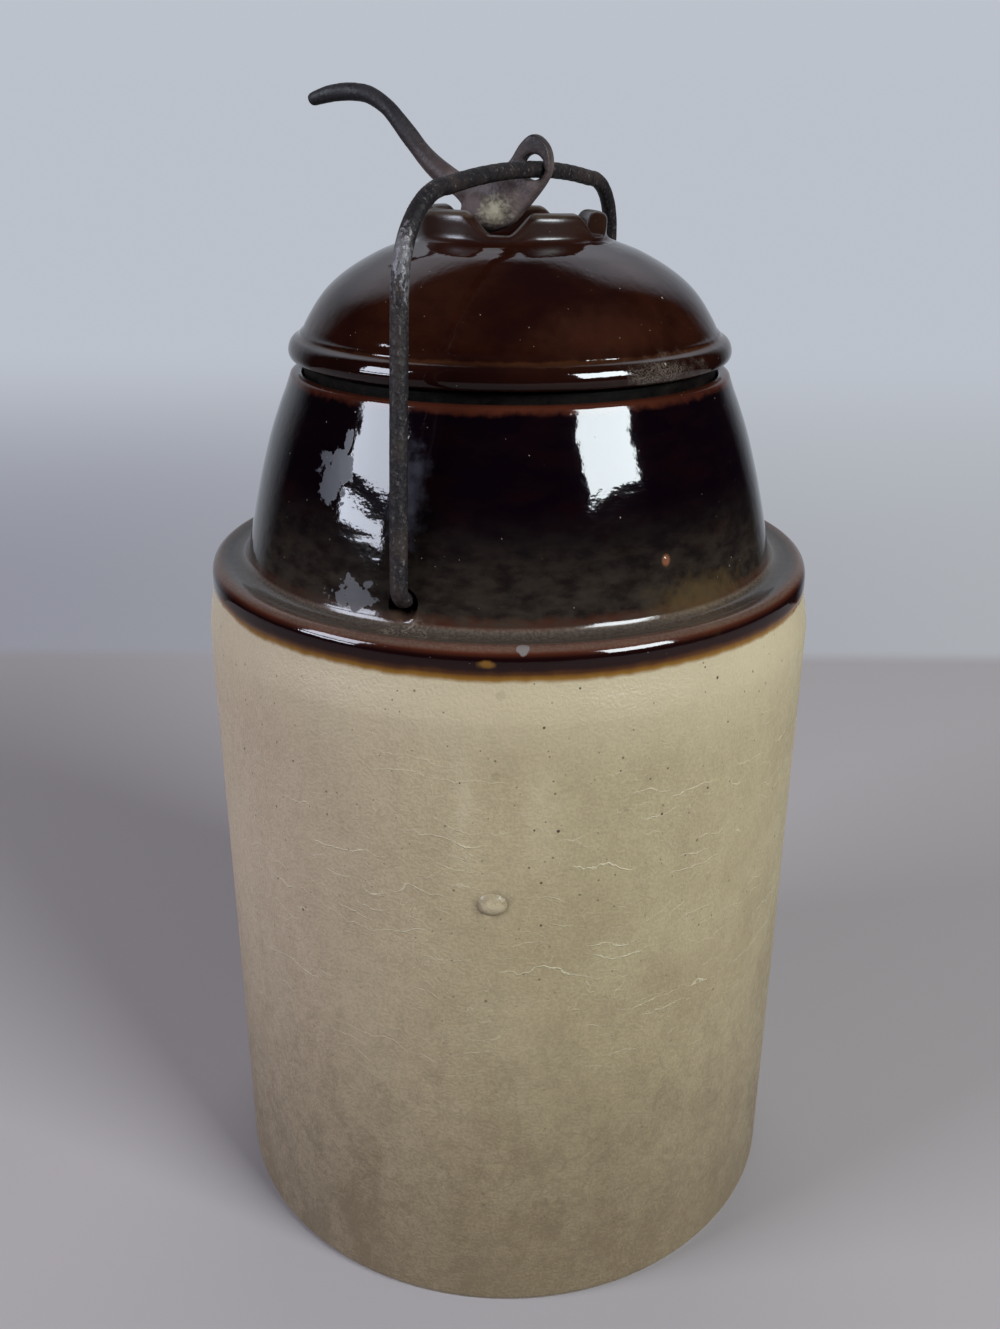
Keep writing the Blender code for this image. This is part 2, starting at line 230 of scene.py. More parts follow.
def curveThrough(knots, steps):
    # a smooth curve that passes through every knot
    ends = [2 * knots[0] - knots[1], *knots, 2 * knots[-1] - knots[-2]]
    points = []
    for a, b, c, d in zip(ends, ends[1:], ends[2:], ends[3:]):
        for i in range(steps):
            t = i / steps
            points.append(0.5 * (2 * b + (c - a) * t + (2 * a - 5 * b + 4 * c - d) * t**2
                                 + (3 * b - a - 3 * c + d) * t**3))
    return points + [knots[-1]]


def closedCurve(knots, steps):
    count = len(knots)
    points = []
    for i in range(count):
        near = [knots[(i + k) % count] for k in (-1, 0, 1, 2)]
        points += curveThrough(near, steps)[steps: 2 * steps]
    return points


def evenly(points, longest):
    # adds points until no run is longer than the given length
    result = [points[0]]
    for a, b in zip(points, points[1:]):
        count = max(1, math.ceil((b - a).length / longest))
        result += [a.lerp(b, (k + 1) / count) for k in range(count)]
    return result


# ---- what the geometry trees share
def unevenness(entry, here, reach, scale, bias, detail, roughness=0.5):
    # how far each point moves: a noise less its bias; reach and scale name inputs of the tree
    field = noise(here, entry[scale], detail, roughness, entry["Seed"])
    return times(minus(field, bias), entry[reach])


def shifted(mesh, direction, distance):
    inputs = {"Geometry": mesh, "Offset": vectors("SCALE", direction, distance)}
    return made(mesh.id_data, "GeometryNodeSetPosition", inputs)


def asPiece(mesh, entry, leave):
    # each tree ends as a real mesh with its finish on it
    real = made(mesh.id_data, "GeometryNodeRealizeInstances", {"Geometry": mesh})
    inputs = {"Geometry": real, "Material": entry["Finish"]}
    return feed(leave, {"Geometry": made(mesh.id_data, "GeometryNodeSetMaterial", inputs)})


# ---- the potter's wheel: one tree turns the body, the lid and the ring
def wheelTree():
    tree, entry, leave = newTree("Potter's wheel", "GeometryNodeTree", {
        "Profile": "Geometry", "Turn Steps": 240,
        "Throwing Wobble": 0.0, "Wobble Scale": 20.0, "Glaze Ripple": 0.0, "Ripple Scale": 120.0,
        "Notches": 0, "Notch Start": 0.0, "Notch Depth": 0.0, "Notch Floor": 0.0036, "Notch Ramp": 0.004,
        "Collar Foot": 10.0, "Collar Top": 11.0, "Collar Radius": 0.016, "Collar Tilt": 0.0,
        "Tilt Towards": 0.0, "Seed": 1.0, "Finish": "Material"}, "Geometry")
    profile = {"Geometry": entry["Profile"]}
    count = put(tree, "GeometryNodeAttributeDomainSize", profile).outputs["Point Count"]
    columns = plus(entry["Turn Steps"], 1)
    inputs = {"Size X": 1, "Size Y": 1, "Vertices X": columns, "Vertices Y": count}
    grid = put(tree, "GeometryNodeMeshGrid", inputs).outputs["Mesh"]
    index = made(tree, "GeometryNodeInputIndex")
    here = made(tree, "GeometryNodeInputPosition")
    inputs = {**profile, "Value": here, "Index": maths("MODULO", index, count)}
    sample = made(tree, "GeometryNodeSampleIndex", inputs, data_type="FLOAT_VECTOR")
    radius, height = axis(sample, "X"), axis(sample, "Z")
    column = maths("FLOOR", over(plus(index, 0.5), count))
    angle = times(over(column, entry["Turn Steps"]), math.tau)
    # a notch lowers the collar towards its foot, and keeps the collar's rounded lip
    turns = times(over(minus(angle, entry["Notch Start"]), math.tau), entry["Notches"])
    apart = maths("ABSOLUTE", minus(turns, maths("ROUND", turns)))
    width = times(over(math.tau, most(entry["Notches"], 1)), entry["Collar Radius"])
    floorHalf = times(entry["Notch Floor"], 0.5)
    stand = ramp(times(apart, width), floorHalf, plus(floorHalf, entry["Notch Ramp"]))
    notch = times(minus(1, stand), entry["Notch Depth"])
    lean = times(radius, maths("COSINE", minus(angle, entry["Tilt Towards"])))
    drop = plus(notch, times(lean, entry["Collar Tilt"]))
    rise = most(minus(height, entry["Collar Foot"]), 0)
    share = over(rise, minus(entry["Collar Top"], entry["Collar Foot"]))
    inputs = {0: times(radius, maths("COSINE", angle)), 1: times(radius, maths("SINE", angle)),
              2: minus(height, times(drop, share))}
    place = made(tree, "ShaderNodeCombineXYZ", inputs)
    turned = made(tree, "GeometryNodeSetPosition", {"Geometry": grid, "Position": place})
    closed = made(tree, "GeometryNodeMergeByDistance", {"Geometry": turned, "Distance": 0.001 * mm})
    # hand-thrown unevenness always goes inwards, so the piece never grows past its size
    outward = vectors("NORMALIZE", stretched(here, (1, 1, 0)))
    shift = plus(unevenness(entry, here, "Throwing Wobble", "Wobble Scale", 0.85, 2),
                 unevenness(entry, here, "Glaze Ripple", "Ripple Scale", 0.85, 2))
    return asPiece(shifted(closed, outward, shift), entry, leave)


# ---- shader groups that several finishes share
def cloudGroup():
    # a soft, cloudy share of the surface between two thresholds
    _, entry, leave = newTree("Kiln clouds", "ShaderNodeTree", {
        "Vector": "Vector", "Scale": 60.0, "Detail": 4.0, "Low": 0.4, "High": 0.6}, "Mask")
    field = noise(entry["Vector"], entry["Scale"], entry["Detail"], 0.6)
    return feed(leave, {"Mask": ramp(field, entry["Low"], entry["High"])})


def speckGroup():
    # scattered round specks: a cell holds one or doesn't, and each has its own size
    tree, entry, leave = newTree("Fired specks", "ShaderNodeTree", {
        "Vector": "Vector", "Cells": 300.0, "Share": 0.2, "Size": 0.2, "Softness": 0.5}, "Mask")
    inputs = {"Vector": entry["Vector"], "Scale": entry["Cells"]}
    cells = put(tree, "ShaderNodeTexVoronoi", inputs, feature="F1").outputs
    pick = put(tree, "ShaderNodeSeparateColor", {0: cells["Color"]}).outputs
    size = times(entry["Size"], plus(times(pick[1], 0.8), 0.3))
    dot = fade(cells["Distance"], times(size, minus(1, entry["Softness"])), size)
    held = maths("LESS_THAN", pick[0], entry["Share"])
    return feed(leave, {"Mask": times(dot, held)})


def crazeGroup():
    # broken hairlines along the edges of stretched cells
    tree, entry, leave = newTree("Craze lines", "ShaderNodeTree", {
        "Vector": "Vector", "Stretch": (1.0, 1.0, 1.0), "Cells": 150.0, "Width": 0.02,
        "Gaps": 0.5}, "Mask")
    inputs = {"Vector": entry["Vector"], "Scale": 180.0, "Detail": 3.0}
    wander = put(tree, "ShaderNodeTexNoise", inputs).outputs[1]
    wander = vectors("SCALE", vectors("SUBTRACT", wander, (0.5, 0.5, 0.5)), 0.006)
    spot = stretched(vectors("ADD", entry["Vector"], wander), entry["Stretch"])
    inputs = {"Vector": spot, "Scale": entry["Cells"]}
    edge = made(tree, "ShaderNodeTexVoronoi", inputs, feature="DISTANCE_TO_EDGE")
    kept = ramp(noise(entry["Vector"], 130.0, 2.0), entry["Gaps"], plus(entry["Gaps"], 0.08))
    return feed(leave, {"Mask": times(fade(edge, 0, entry["Width"]), kept)})


def markGroup():
    # one ragged patch at a place: Field is a noise that marks can share, and it frays the edge
    _, entry, leave = newTree("Placed mark", "ShaderNodeTree", {
        "Vector": "Vector", "Centre": (0.0, 0.0, 0.0), "Size": (0.01, 0.01, 0.01), "Field": 0.5,
        "Ragged": 1.2, "Softness": 0.3}, "Mask")
    arm = vectors("DIVIDE", vectors("SUBTRACT", entry["Vector"], entry["Centre"]), entry["Size"])
    away = plus(vectors("LENGTH", arm), centred(entry["Field"], entry["Ragged"]))
    return feed(leave, {"Mask": fade(away, minus(1, entry["Softness"]), 1)})


def oxideGroup():
    # the granular skin of old iron: pits, scale and rust bloom
    tree, entry, leave = newTree("Oxide skin", "ShaderNodeTree", {
        "Vector": "Vector", "Grain": 2500.0, "Bloom": 300.0}, "Height", "Rust", "Bright", "Grit")
    spot, grain = entry["Vector"], entry["Grain"]
    fine, bloom = noise(spot, grain, 3, 0.65), noise(spot, entry["Bloom"], 5, 0.6)
    inputs = {"Vector": spot, "Scale": grain}
    pits = put(tree, "ShaderNodeTexVoronoi", inputs, feature="F1").outputs["Distance"]
    return feed(leave, {"Height": plus(times(fine, 0.7), times(pits, 0.4)), "Rust": ramp(bloom, 0.42, 0.66),
                        "Bright": ramp(fine, 0.56, 0.72), "Grit": fine})


groups = {"clouds": cloudGroup(), "specks": speckGroup(), "craze": crazeGroup(), "mark": markGroup(),
          "oxide": oxideGroup()}


def use(group, spot, **inputs):
    return put(spot.id_data, "ShaderNodeGroup", {"Vector": spot, **inputs}, node_tree=groups[group]).outputs


def clouds(spot, scale, low, high, detail=4.0):
    return use("clouds", spot, Scale=scale, Detail=detail, Low=low, High=high)["Mask"]


def specks(spot, cells, share, size, softness):
    return use("specks", spot, Cells=cells, Share=share, Size=size, Softness=softness)["Mask"]


def craze(spot, stretch, cells, width, gaps):
    return use("craze", spot, Stretch=stretch, Cells=cells, Width=width, Gaps=gaps)["Mask"]


def placed(spot, field, places):
    # marks of one kind, each with its centre and size in mm, raggedness and softness
    return most(*[use("mark", spot, Centre=Vector(centre) * mm, Size=Vector(size) * mm, Field=field,
                      Ragged=ragged, Softness=softness)["Mask"]
                  for centre, size, ragged, softness in places])


def tint(share, a, b):
    # mixes two colours, each given as numbers or as a socket
    a, b = (colour if isSocket(colour) else (*colour, 1) for colour in (a, b))
    return put(share.id_data, "ShaderNodeMix", {0: share, 6: a, 7: b}, data_type="RGBA").outputs[2]


def layered(colour, palette, layers):
    # lays colours of a palette over the first, each with its mask and strength
    for mask, strength, name in layers:
        colour = tint(times(mask, strength), colour, palette[name])
    return colour


def blend(share, a, b):
    return made(share.id_data, "ShaderNodeMix", {0: share, 2: a, 3: b}, data_type="FLOAT")


def newFinish(name, constants):
    # a material whose plain numbers are set on the shader itself
    finish = bpy.data.materials.new(name)
    finish.use_nodes = True
    shader = finish.node_tree.nodes["Principled BSDF"]
    for label, value in constants.items():
        shader.inputs[label].default_value = value
    return finish, shader, put(finish.node_tree, "ShaderNodeTexCoord").outputs["Object"]


def dress(shader, colour, roughness, height, depth, metallic=None):
    # links what varies over the surface; the relief is a height times its depth
    bump = made(height.id_data, "ShaderNodeBump", {"Height": height, "Distance": depth, "Strength": 1.0})
    feed(shader, {"Base Color": colour, "Roughness": roughness, "Normal": bump})
    if metallic is not None:
        feed(shader, {"Metallic": metallic})


# ---- the two glazes of the body
glaze = {
    # the buff glaze on the wall: its pink is painted light on the left flank, and its base colour carries
    # painted shade
    "buff": (0.245, 0.199, 0.118), "buffShade": (0.208, 0.165, 0.095), "buffLitPink": (0.325, 0.247, 0.176),
    "buffBase": (0.108, 0.078, 0.046), "buffPale": (0.328, 0.274, 0.184), "speck": (0.018, 0.011, 0.006),
    # the pale craze colour is a painted highlight
    "crazePaintedHighlight": (0.4, 0.36, 0.25), "crazeDark": (0.1, 0.076, 0.044), "bareClay": (0.25, 0.205, 0.15),
    "dark": (0.0013, 0.0004, 0.0011), "brown": (0.012, 0.0028, 0.0016), "breakRed": (0.08, 0.0195, 0.0085),
    "amber": (0.12, 0.055, 0.0065), "toffee": (0.055, 0.0185, 0.003), "film": (0.024, 0.0185, 0.0135),
    "reflectedKhaki": (0.045, 0.028, 0.012), "dust": (0.16, 0.13, 0.1), "sheenHaze": (0.1, 0.1, 0.125),
    "chip": (0.15, 0.135, 0.125), "amberSpot": (0.16, 0.075, 0.012), "redSpot": (0.12, 0.045, 0.022),
    "buffRough": (0.33, 0.45), "darkRough": 0.05, "clayRough": 0.8,
    "lineHeight": 129.6, "lineTilt": 0.75, "lineReach": 57, "frontTurn": 20.0, "hairlineSpacing": 2.7,
    "marks": {
        "runs": [((12.8, -55, 109), (3.4, 20, 17), 1.6, 0.98),
                 ((24.5, -52.5, 108), (4.4, 20, 16), 1.6, 0.98),
                 ((18.7, -54, 120.5), (7.5, 20, 6), 1.6, 0.98)],
        # rougher patches of glaze, with a painted bluish sheen on them
        "smudgesAndSheen": [((-15, -40.5, 155), (3.6, 3.6, 5), 2.6, 0.2),
                    ((-9.5, -46.8, 137.5), (4.6, 4.2, 2.6), 2.6, 0.2),
                    ((-12.8, -39.8, 161), (1, 1.2, 2.2), 2.6, 0.2)],
        # painted shade round the blister's foot and a painted highlight on the bubble
        "bubbleFootShade": [((17.1, -53.6, 89.3), (4.2, 4.2, 3.57), 1.2, 0.6)],
        "bubble": [((17.1, -53.6, 89.3), (2.5, 2.5, 2.125), 1.2, 0.6)],
        # a painted reflection: the brown wedge on the lower right of the dome
        "reflectedKhaki": [((41, -23, 136), (12, 16, 5.2), 1.2, 0.85)],
        "holeDust": [((1, -50.8, 134), (12, 3, 2.2), 1.5, 0.95)],
        "sheenHaze": [((-1, -43, 153.5), (4.2, 6, 12.5), 1.6, 0.95)],
        "chip": [((20.9, -50.7, 133.6), (1.3, 1.2, 1), 1.6, 0.25)],
        "amberSpot": [((15.8, -53.4, 131.5), (1.6, 1.6, 0.8), 1.6, 0.7)],
        "redSpot": [((37.2, -28.8, 143.1), (1, 1, 1.3), 0.9, 0.6)],
    },
    # cells, share of the cells, size and strength
    "specks": [(260, 0.9, 0.088, 0.95), (520, 0.95, 0.135, 0.68), (170, 0.25, 0.16, 0.16)],
}


def levelLines(spot, z, spacing):
    # wavy hairlines that run mostly level; each has gaps of its own
    steps = plus(over(z, spacing), times(noise(spot, 55, 2), 5), times(noise(spot, 330), 0.85))
    apart = maths("ABSOLUTE", minus(maths("FRACT", steps), 0.5))
    gaps = noise(spot, 95, 2, seed=times(maths("FLOOR", steps), 3.7))
    return times(fade(apart, 0, 0.062), ramp(gaps, 0.48, 0.62))


def bodyGlaze():
    finish, shader, spot = newFinish("bodyGlaze", {"IOR": 1.5, "Specular IOR Level": 0.25})
    z = axis(spot, "Z")
    radius = vectors("LENGTH", stretched(spot, (1, 1, 0)))
    sideways, forward = along(spot, glaze["frontTurn"]), along(spot, glaze["frontTurn"] - 90)
    fray = noise(spot, 420)
    grain = ramp(noise(spot, 1800, 2, 0.6), 0.36, 0.64)
    marks = {name: placed(spot, fray, places) for name, places in glaze["marks"].items()}

    # buff glaze: clouds, a pink left flank that is painted light, a base darker towards the bottom that is
    # painted shade, paler runs, and a paler shoulder that is painted light
    cloudy = clouds(spot, 48, 0.35, 0.7)
    mottle = clouds(spot, 520, 0.35, 0.7, 3)
    blotches = clouds(stretched(spot, (1, 1, 0.6)), 150, 0.42, 0.72)
    # painted shade: the wall darkens towards the bottom, under the glaze's own mottle, grain and blotches
    low = fade(z, -0.008, 0.092)
    base = plus(times(low, 0.75), times(mottle, 0.11), times(grain, 0.2),
                times(blotches, plus(times(low, 0.14), 0.1)))
    pale = times(marks["runs"], plus(times(mottle, 0.24), 0.2))
    # hairlines: pale and mostly level higher up, the pale being a painted highlight along each crack, darker
    # and branching lower down
    patch = clouds(spot, 34, 0.34, 0.48, 2)
    belt = times(ramp(z, 0.04, 0.07), fade(z, 0.108, 0.12))
    cracks = craze(spot, (0.8, 0.8, 1.25), 190, 0.014, 0.46)
    lines = most(levelLines(spot, z, glaze["hairlineSpacing"] * mm), times(cracks, 0.42))
    lines = times(lines, times(patch, belt))
    veins = times(craze(spot, (1, 1, 0.7), 240, 0.11, 0.4), fade(z, 0.02, 0.085, 0.34))
    buff = layered(glaze["buff"], glaze, [
        # painted light on the left flank and the shoulder, and painted shade on the base
        (cloudy, 1, "buffShade"), (fade(sideways, -0.057, 0.012, 0.85), 1, "buffLitPink"),
        (base, 1, "buffBase"), (most(pale, ramp(z, 0.108, 0.129, 0, 0.55)), 1, "buffPale"),
        # the pale of the hairlines is a painted highlight
        (lines, 0.52, "crazePaintedHighlight"), (veins, 1, "crazeDark")])
    # iron specks: many fine, fewer large, thickest below the shoulder
    high = ramp(z, 0.045, 0.1, 0.35, 1)
    for cells, amount, size, strength in glaze["specks"]:
        mask = times(specks(spot, cells, amount, size, 0.45), times(high, strength))
        buff = tint(mask, buff, glaze["speck"])
    # the blister on the wall: a shiny bubble painted paler as a painted highlight, with painted shade round
    # its foot
    bubble = marks["bubble"]
    footShade = minus(marks["bubbleFootShade"], bubble)
    buff = layered(buff, glaze, [(footShade, 0.6, "buffBase"), (bubble, 0.5, "buffPale")])
    buffRough = minus(blend(mottle, *glaze["buffRough"]), times(bubble, 0.29))

    # dark glaze: nearly black, red-brown where it breaks over an edge
    brown = clouds(stretched(spot, (1, 1, 2.5)), 90, 0.45, 0.75)
    jitter = centred(fray, 0.002)
    level = plus(z, jitter)
    rim = times(ramp(level, 0.1655, 0.1668), 0.45)
    lip = times(ramp(plus(radius, jitter), 0.0524, 0.054, 0, 0.8), ramp(z, 0.1323, 0.1334))
    foot = times(ramp(z, 0.134, 0.1347), fade(level, 0.1354, 0.1368, 0.4))
    breaks = times(most(rim, lip, foot), plus(times(cloudy, 0.35), 0.6))
    # a dull film on the lower dome, dust round the hole, and a grey band on the ledge that is partly dust and
    # partly a painted reflection
    grime = clouds(stretched(spot, (1, 1, 2)), 230, 0.3, 0.72, 6)
    film = times(fade(z, 0.1355, 0.1535), ramp(z, 0.134, 0.1352), plus(times(grime, 0.7), 0.3))
    powder = ramp(noise(spot, 2400, 2), 0.38, 0.62)
    # partly dust and partly a painted reflection: the grey band on the ledge top
    ledge = times(fade(z, 0.1343, 0.135), ramp(z, 0.133, 0.1336), plus(times(powder, 0.14), 0.2))
    motes = times(specks(spot, 820, 0.14, 0.15, 0.4), plus(times(patch, 0.45), 0.05))
    dustAndSheen = most(times(marks["holeDust"], plus(times(powder, 0.45), 0.22)), motes, ledge)
    # the dip line, where the dark glaze runs thin
    line = plus(glaze["lineHeight"] * mm, centred(noise(spot, 380), 0.0007),
                centred(noise(spot, 45, 2), 0.002))
    line = minus(line, times(forward, glaze["lineTilt"] / glaze["lineReach"]))
    above = minus(z, line)
    outside = ramp(radius, 0.049, 0.05)
    dark = layered(glaze["dark"], glaze, [
        (brown, 0.15, "brown"), (breaks, 1, "breakRed"), (film, 0.8, "film"),
        # painted reflection: the brown wedge on the lower right of the dome
        (marks["reflectedKhaki"], 0.75, "reflectedKhaki"), (dustAndSheen, 1, "dust"), (marks["smudgesAndSheen"], 0.16, "sheenHaze"),
        # painted sheen: a bluish grey on the rougher patches here and in the line above
        (marks["sheenHaze"], 0.17, "sheenHaze"), (marks["chip"], 0.85, "chip"),
        (marks["amberSpot"], 0.85, "amberSpot"), (marks["redSpot"], 0.85, "redSpot"),
        (ramp(above, 0.0006, 0.0034, 0.8, 0.3), outside, "brown"),
        (fade(above, 0.0006, 0.0019), outside, "toffee"), (fade(above, 0.0001, 0.0011), outside, "amber")])
    darkRough = plus(glaze["darkRough"], times(film, 0.05), times(most(marks["smudgesAndSheen"], dustAndSheen), 0.4),
                     times(breaks, 0.08))

    dipped = most(ramp(above, -0.0006, 0.0003), minus(1, outside))
    bare = fade(z, 0.0002, 0.0009)
    colour = tint(bare, tint(dipped, buff, dark), glaze["bareClay"])
    rough = blend(bare, blend(dipped, buffRough, darkRough), glaze["clayRough"])
    # surface relief: orange peel, throwing lines, the step at the dip line, hairlines and the chip
    throwing = noise(stretched(spot, (30, 30, 620)), 1, 2)
    coarse = plus(times(grain, 0.55), times(lines, 1.1))
    height = plus(times(fray, 0.5), times(throwing, 0.17), times(dipped, 0.8),
                  times(coarse, minus(1, dipped)))
    height = minus(height, times(marks["chip"], 1.5))
    dress(shader, colour, rough, height, 0.00007)
    return finish


lidColours = {
    # the warm lit patch on the lid's right front is painted light
    "deep": (0.006, 0.0013, 0.001), "warm": (0.0132, 0.0034, 0.0016), "litGlow": (0.036, 0.012, 0.006),
    "bead": (0.04, 0.014, 0.005), "collar": (0.014, 0.0058, 0.0034), "lip": (0.05, 0.036, 0.026),
    # the brim colour is painted shade on the lower lid
    "brim": (0.0045, 0.0012, 0.0009), "dust": (0.17, 0.14, 0.11),
    "litGlowPlace": [((26.5, -26.5, 177.5), (16, 16, 6), 0.8, 0.95)],
    "dustPlace": [((33.5, -20.5, 171.3), (9, 12, 3), 1.8, 0.9)],
}


def lidGlaze():
    finish, shader, spot = newFinish("lidGlaze", {"IOR": 1.5, "Specular IOR Level": 0.28})
    z = axis(spot, "Z")
    radius = vectors("LENGTH", stretched(spot, (1, 1, 0)))
    fray = noise(spot, 380, 4)
    cloudy = clouds(stretched(spot, (1, 1, 1.6)), 60, 0.36, 0.68)
    # the glaze thins to amber over the bead, the collar and its notches
    level = plus(z, centred(fray, 0.001))
    bead = times(ramp(level, 0.1728, 0.1732), fade(level, 0.1734, 0.1739), plus(times(cloudy, 0.45), 0.4))
    collar = times(ramp(level, 0.189, 0.1915), fade(radius, 0.018, 0.019), plus(times(cloudy, 0.5), 0.4))
    lip = times(ramp(level, 0.193, 0.1937), ramp(radius, 0.0125, 0.0135))
    # dust: fine motes all over, thick on one side of the brim
    patch = clouds(spot, 52, 0.36, 0.62)
    motes = times(specks(spot, 900, 0.26, 0.11, 0.5), plus(times(patch, 0.7), 0.15))
    flecks = specks(stretched(spot, (1, 1, 0.45)), 300, 0.16, 0.1, 0.35)
    powder = ramp(noise(spot, 3400), 0.4, 0.62)
    thick = times(placed(spot, fray, lidColours["dustPlace"]), plus(times(powder, 0.24), 0.05))
    dust = most(motes, flecks, thick)
    colour = layered(lidColours["deep"], lidColours, [
        # painted light: a warm lit patch on the lid's right front
        (cloudy, 1, "warm"), (placed(spot, fray, lidColours["litGlowPlace"]), 0.36, "litGlow"),
        (bead, 1, "bead"), (collar, 1, "collar"), (lip, 0.6, "lip"),
        # painted shade: the lid darkens towards its brim
        (fade(z, 0.1705, 0.1765, 0.75), 1, "brim"), (dust, 1, "dust")])
    # the collar is worn duller than the dome
    worn = times(ramp(z, 0.1886, 0.1896), fade(radius, 0.0178, 0.0188))
    rough = plus(0.05, times(dust, 0.5), times(most(lip, worn), 0.22))
    dress(shader, colour, rough, fray, 0.00005)
    return finish


rubberColours = {
    "deep": (0.0012, 0.0009, 0.0008), "faded": (0.0042, 0.003, 0.0026), "dust": (0.05, 0.036, 0.028),
}


def agedRubber():
    finish, shader, spot = newFinish("agedRubber", {"Specular IOR Level": 0.03})
    cloudy = clouds(spot, 220, 0.35, 0.7)
    dust = clouds(spot, 1500, 0.5, 0.7)
    colour = layered(rubberColours["deep"], rubberColours, [(cloudy, 1, "faded"), (dust, 0.05, "dust")])
    dress(shader, colour, blend(cloudy, 0.5, 0.7), noise(spot, 1800), 0.00006)
    return finish


wireColours = {
    "scale": (0.0058, 0.0044, 0.005), "rust": (0.017, 0.0115, 0.01), "bright": (0.072, 0.06, 0.056),
    "scuff": (0.24, 0.23, 0.24), "scuffPlace": [((-1, -44, 189.5), (3, 2, 8.5), 4, 0.5)],
}


def oxidisedWire():
    finish, shader, spot = newFinish("oxidisedWire", {"Specular IOR Level": 0.14})
    skin = use("oxide", stretched(spot, (1, 1, 0.7)), Grain=1500, Bloom=230)
    scuff = placed(spot, skin["Grit"], wireColours["scuffPlace"])  # scuffed bright on the near bend
    colour = layered(wireColours["scale"], wireColours, [
        (skin["Rust"], 1, "rust"), (skin["Bright"], 0.75, "bright"), (scuff, 0.32, "scuff")])
    rough = minus(0.58, times(scuff, 0.15))
    dress(shader, colour, rough, skin["Height"], 0.00028, times(scuff, 0.35))
    return finish


ironColours = {
    "cast": (0.036, 0.0245, 0.0235), "rust": (0.07, 0.05, 0.046), "handle": (0.0045, 0.0045, 0.0062),
    "worn": (0.19, 0.165, 0.12), "bright": (0.12, 0.1, 0.09),
    "wornPlace": [((-3.2, 0.5, 193.4), (4.4, 5, 3.8), 1.5, 0.85)],
}


def castIron():
    finish, shader, spot = newFinish("castIron", {"Specular IOR Level": 0.17})
    skin = use("oxide", spot, Grain=1400, Bloom=170)
    handle = ramp(axis(spot, "Z"), 0.1975, 0.2085, 0, 0.9)
    worn = placed(spot, skin["Grit"], ironColours["wornPlace"])
    colour = layered(ironColours["cast"], ironColours, [
        (skin["Rust"], 1, "rust"), (handle, 1, "handle"), (worn, 0.9, "worn"),
        (skin["Bright"], 0.12, "bright")])
    rough = blend(skin["Rust"], 0.5, 0.72)
    dress(shader, colour, rough, skin["Height"], 0.00013, times(skin["Bright"], 0.3))
    return finish


bodyFinish, lidFinish, ringFinish = bodyGlaze(), lidGlaze(), agedRubber()
wireFinish, leverFinish = oxidisedWire(), castIron()
print("finishes mixed")

wheel = wheelTree()


def throwPiece(name, profile, values, finish):
    # turns a profile, in mm, on the wheel
    piece = addPiece(name, lineMesh(name, [(p.x * mm, 0, p.y * mm) for p in profile]))
    runTree(piece, wheel, {**values, "Finish": finish})
    faceOutwards(piece)
    return piece


# ---- the jar's body
body = {
    "foot": [(0, 0, 0), (56.2, 0, 0.35), (56.93, 1.3, 0.8), (56.97, 30, 0), (56.97, 121, 0)],
    "shoulder": [(56.95, 122), (56.6, 124.5), (56.15, 127), (55.85, 129.4)],  # just under the dark glaze
    "band": [(55.95, 130.2), (55.9, 131.4), (55.75, 132.4), (55.3, 133.3), (54.4, 133.95), (53.3, 133.9),
             (52, 133.62), (50.6, 133.6), (49.75, 133.95), (49.22, 134.6), (48.9, 135.5)],
    "dome": [(48.64, 136.5), (48.2, 138.4), (47.64, 141), (47.02, 143.7), (46.34, 146.5), (45.48, 149.8),
             (43.62, 156), (41.77, 161), (40.5, 164), (39.75, 166)],
    "rim": [(39.35, 166.9), (38.6, 167.25), (37.75, 167.2), (37.3, 166.8)],
    "inside": [(37.3, 166.8, 0), (37.3, 163.3, 0.6), (29.5, 163.3, 1), (29.5, 155.3, 8), (48.5, 113.5, 30),
               (48.5, 9, 8.5), (0, 9, 0)],
    "wheel": {"Turn Steps": 280, "Throwing Wobble": 0.22 * mm, "Wobble Scale": 16.0,
              "Glaze Ripple": 0.035 * mm, "Ripple Scale": 110.0, "Seed": 3.0},
    "hole": {"radius": 2.35, "height": 137.6, "surface": 48.45, "depth": 5.6, "lip": 0.9, "lipDepth": 1.4,
             "lipReach": 2, "lipSteps": 7, "sides": 48, "past": 4},
    "blisters": [((17.1, -53.6, 89.4), (2.7, 2.35, 1.45)), ((36.6, -28.3, 143.1), (0.75, 0.9, 0.9))],
}


def bodyProfile():
    outer = curveThrough([Vector(p) for p in body["shoulder"] + body["band"] + body["dome"] + body["rim"]], 6)
    return evenly(softCorners(body["foot"], 5), 2.5) + outer + evenly(softCorners(body["inside"], 6), 3)[1:]


def toolFrom(build, name):
    bmesh.ops.recalc_face_normals(build, faces=build.faces)
    mesh = meshFrom(build, name)
    mesh.materials.append(bodyFinish)
    return addPiece(name, mesh)


